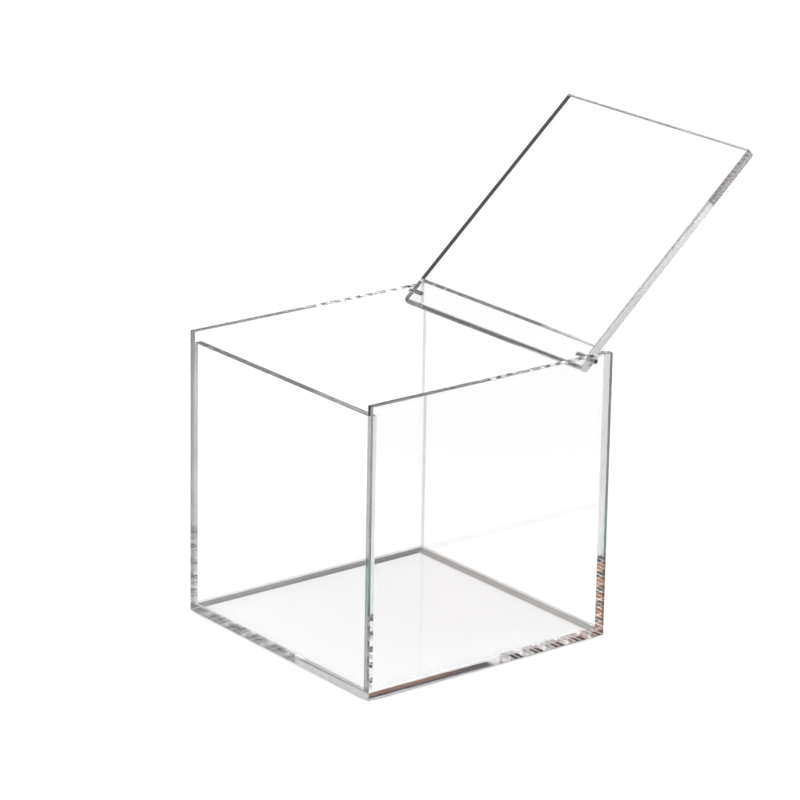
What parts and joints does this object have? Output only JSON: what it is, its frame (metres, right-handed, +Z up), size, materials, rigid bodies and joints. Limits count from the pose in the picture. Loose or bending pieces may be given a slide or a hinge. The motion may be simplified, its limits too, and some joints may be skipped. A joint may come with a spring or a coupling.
{
  "type": "acrylic storage box with lid",
  "caption": "Clear cube box of cemented flat sheet, with a thick lid that drops in flush and swings back on two short pins.",
  "frame": {"origin": "centre of the underside of the base plate, where the box rests on a table", "axes": "+X to the right and +Y to the back, seen from the side that the lid opens at; +Z up. The hinge runs along X near the top of the back"},
  "size_m": [0.127, 0.2065, 0.2028],
  "materials": {
    "clear_sheet": "polished clear acrylic sheet",
    "lid_sheet": "polished clear acrylic sheet, thicker",
    "pin_metal": "plain drawn stainless wire"
  },
  "bodies": {
    "box": {"base_panel": "clear_sheet", "front_panel": "clear_sheet", "back_panel": "clear_sheet", "left_side_panel": "clear_sheet", "right_side_panel": "clear_sheet", "left_hinge_pin": "pin_metal", "right_hinge_pin": "pin_metal"},
    "lid": {"lid_panel": "lid_sheet"}
  },
  "joints": [
    {"name": "lid_hinge", "type": "hinge", "parent": "box", "child": "lid", "pos_m": [0, 0.05405, 0.12475], "axis": [1, 0, 0], "range_deg": [0, 138.88]}
  ]
}
